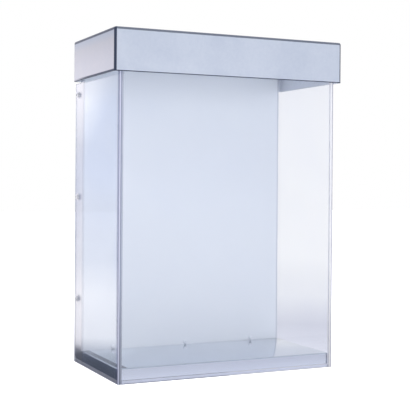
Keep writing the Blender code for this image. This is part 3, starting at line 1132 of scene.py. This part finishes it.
def makeFloor():
    form = bmesh.new()
    half = floorLook["size"] / 2
    corners = [(-half, -half, 0), (half, -half, 0), (half, half, 0), (-half, half, 0)]
    form.faces.new([form.verts.new(corner) for corner in corners])
    material, tree, shader, where = startMaterial("paleStudioFloor")
    # how far a point is from the object's footprint
    sideways, along, _ = splitPlace(tree, where)
    footLow, footHigh = cadBox
    insetX, insetY = floorLook["footInset"]
    reachX = howFarOut(tree, sideways, (footHigh[0] - footLow[0]) / 2 - insetX)
    reachY = howFarOut(tree, along, (footHigh[1] - footLow[1]) / 2 - insetY)
    away = addMath(tree, "SQRT", addMath(
        tree, "ADD", multiply(tree, reachX, reachX), multiply(tree, reachY, reachY)))
    spread = addMath(tree, "DIVIDE", away, floorLook["rampLength"], clamp=True)
    # painted light and shadow on the floor, seen only in reflections and through the clear panels
    lit = addRamp(tree, spread, floorLook["lit"])
    shaded = addRamp(tree, spread, floorLook["shaded"])
    inner, outer = floorLook["shadedEdge"]
    onLeft = mapRange(tree, sideways, footLow[0] + inner, footLow[0] + outer)
    lightAndShade = mixColour(tree, onLeft, lit, shaded)
    glow = mapRange(tree, onLeft, 0.0, 1.0, 1.0, floorLook["shadedGlow"])
    grain = addNode(tree, "ShaderNodeTexNoise", {
        "Vector": where, "Scale": floorLook["grainScale"], "Detail": 3.0})
    pale = mixColour(tree, grain.outputs[0], floorLook["pale"], floorLook["palest"])
    addColour(tree, shader, pale)
    shader.inputs["Roughness"].default_value = floorLook["rough"]
    shader.inputs["Emission Color"].default_value = (1, 1, 1, 1)
    shader.inputs["Emission Strength"].default_value = floorLook["glow"]
    reflected = addNode(tree, "ShaderNodeEmission", {"Color": lightAndShade, "Strength": glow})
    # through the clear panels the far floor is as pale as the surroundings
    beyond = addRamp(tree, spread, floorLook["beyond"])
    paler = mixColour(tree, beyond, lightAndShade, (1.0, 1.0, 1.0, 1))
    seenThrough = addNode(tree, "ShaderNodeEmission", {"Color": paler, "Strength": glow})
    chosen = chooseByRay(tree, shader, seenThrough, reflected)
    tree.links.new(chosen, tree.get_output_node("ALL").inputs[0])
    floor = addPiece("studioFloor", form, (material,))


worldLook = {
    # by height, where 0.5 is the horizon: what is reflected, and what is seen through panels
    "sky": (
        (0.0, (0.60, 0.62, 0.70, 1)), (0.48, (0.74, 0.77, 0.86, 1)),
        (0.53, (0.64, 0.68, 0.80, 1)), (0.62, (0.60, 0.63, 0.72, 1)),
        (0.80, (0.62, 0.65, 0.74, 1)), (1.0, (0.95, 0.96, 1.0, 1))),
    "through": (
        (0.0, (0.70, 0.71, 0.78, 1)), (0.5, (1.0, 1.0, 1.0, 1)),
        (0.54, (0.99, 0.99, 1.0, 1)), (0.58, (0.90, 0.91, 0.95, 1)),
        (1.0, (0.86, 0.87, 0.92, 1))),
    "cloudScale": 9.0,
    "cloudStrength": (0.82, 1.22),
    "frontToBack": (0.72, 1.05),
    "cardNearEdge": (-0.362, -0.322),
    "cardFarEdge": (-0.05, -0.15),
    "cardFoot": (0.034, 0.080),
    "cardColour": (0.72, 0.70, 0.74, 1),
    "cardStrength": 1.55,
}


def makeWorld():
    world = bpy.data.worlds.new("paleStudio")
    scene.world = world
    world.use_nodes = True
    tree = world.node_tree
    tree.nodes.clear()
    output = tree.nodes.new("ShaderNodeOutputWorld")
    way = tree.nodes.new("ShaderNodeTexCoord").outputs["Generated"]
    wayX, wayY, wayZ = splitPlace(tree, way)
    height = mapRange(tree, wayZ, -1.0, 1.0)
    sky = addRamp(tree, height, worldLook["sky"])
    cloud = addNode(tree, "ShaderNodeTexNoise", {
        "Vector": way, "Scale": worldLook["cloudScale"], "Detail": 3.0, "Roughness": 0.5,
        "Distortion": 0.4})
    soft = mapRange(tree, cloud.outputs[0], 0.35, 0.65, *worldLook["cloudStrength"])
    front = mapRange(tree, wayY, -0.9, 0.6, *worldLook["frontToBack"])
    strength = multiply(tree, soft, front)
    # a bright card low behind the object on the left, which only its left side mirrors
    slope = addMath(tree, "DIVIDE", wayX, wayY)
    across = mapRange(tree, slope, *worldLook["cardNearEdge"])
    beside = mapRange(tree, slope, *worldLook["cardFarEdge"])
    above = mapRange(tree, wayZ, *worldLook["cardFoot"])
    ahead = mapRange(tree, wayY, 0.0, 0.1)
    card = multiply(tree, across, multiply(tree, above, multiply(tree, beside, ahead)))
    sky = mixColour(tree, card, sky, worldLook["cardColour"])
    strength = addMath(
        tree, "ADD", strength, multiply(tree, card, worldLook["cardStrength"]))
    studio = addNode(tree, "ShaderNodeBackground", {"Color": sky, "Strength": strength})
    through = addRamp(tree, height, worldLook["through"])
    behind = addNode(tree, "ShaderNodeBackground", {"Color": through, "Strength": 1.0})
    white = addNode(tree, "ShaderNodeBackground", {"Color": (1, 1, 1, 1), "Strength": 1.0})
    tree.links.new(chooseByRay(tree, white, behind, studio), output.inputs["Surface"])


lampLook = {
    "frontSoftbox": {
        "place": (0.35, -1.30, 0.36), "target": (0, 0.05, 0.28), "size": (1.2, 0.7),
        "power": 9.0, "colour": (0.97, 0.98, 1.0)},
    "keySoftbox": {
        "place": (-1.0, -1.4, 1.5), "target": (0, 0, 0.25), "size": (1.2, 1.2),
        "power": 10.0, "colour": (1.0, 0.99, 1.0)},
    "leftSoftbox": {
        "place": (-1.4, 0.55, 0.25), "target": (0, 0.2, 0.40), "size": (0.6, 0.6),
        "power": 7.5, "colour": (1.0, 0.78, 0.62)},
    "backSoftbox": {
        "place": (0.8, 1.4, 1.1), "target": (0, 0, 0.3), "size": (1.0, 1.0),
        "power": 5.0, "colour": (0.96, 0.98, 1.0)},
}


def addSoftbox(name, look):
    light = bpy.data.lights.new(name, "AREA")
    light.shape = "RECTANGLE"
    light.size, light.size_y = look["size"]
    light.energy = look["power"]
    light.color = look["colour"]
    lamp = bpy.data.objects.new(name, light)
    lamp.location = look["place"]
    aim = Vector(look["target"]) - Vector(look["place"])
    lamp.rotation_euler = aim.to_track_quat("-Z", "Y").to_euler()
    lamp.visible_camera = False
    lamp.visible_glossy = False
    lamp.visible_transmission = False
    scene.collection.objects.link(lamp)


cameraLook = {
    "place": (-0.6553, -1.4094, 0.2866),
    "turn": 25.02,
    "tilt": 0.41,
    "lens": 87.68,
    "sensor": 36.0,
    "shift": -0.0602,
}


def makeCamera():
    data = bpy.data.cameras.new("viewCamera")
    data.lens = cameraLook["lens"]
    data.sensor_width = cameraLook["sensor"]
    data.shift_y = cameraLook["shift"]
    data.clip_start = 0.01
    camera = bpy.data.objects.new("viewCamera", data)
    camera.location = cameraLook["place"]
    tilt, turn = math.radians(cameraLook["tilt"]), math.radians(cameraLook["turn"])
    camera.rotation_euler = (math.pi / 2, -tilt, -turn)
    scene.collection.objects.link(camera)
    scene.camera = camera


makeFloor()
makeWorld()
for name, look in lampLook.items():
    addSoftbox(name, look)
makeCamera()
scene.view_settings.view_transform = "Standard"
scene.cycles.max_bounces = 20
scene.cycles.glossy_bounces = 10
scene.cycles.transmission_bounces = 16
scene.cycles.transparent_max_bounces = 24
print("stage, light and camera made")
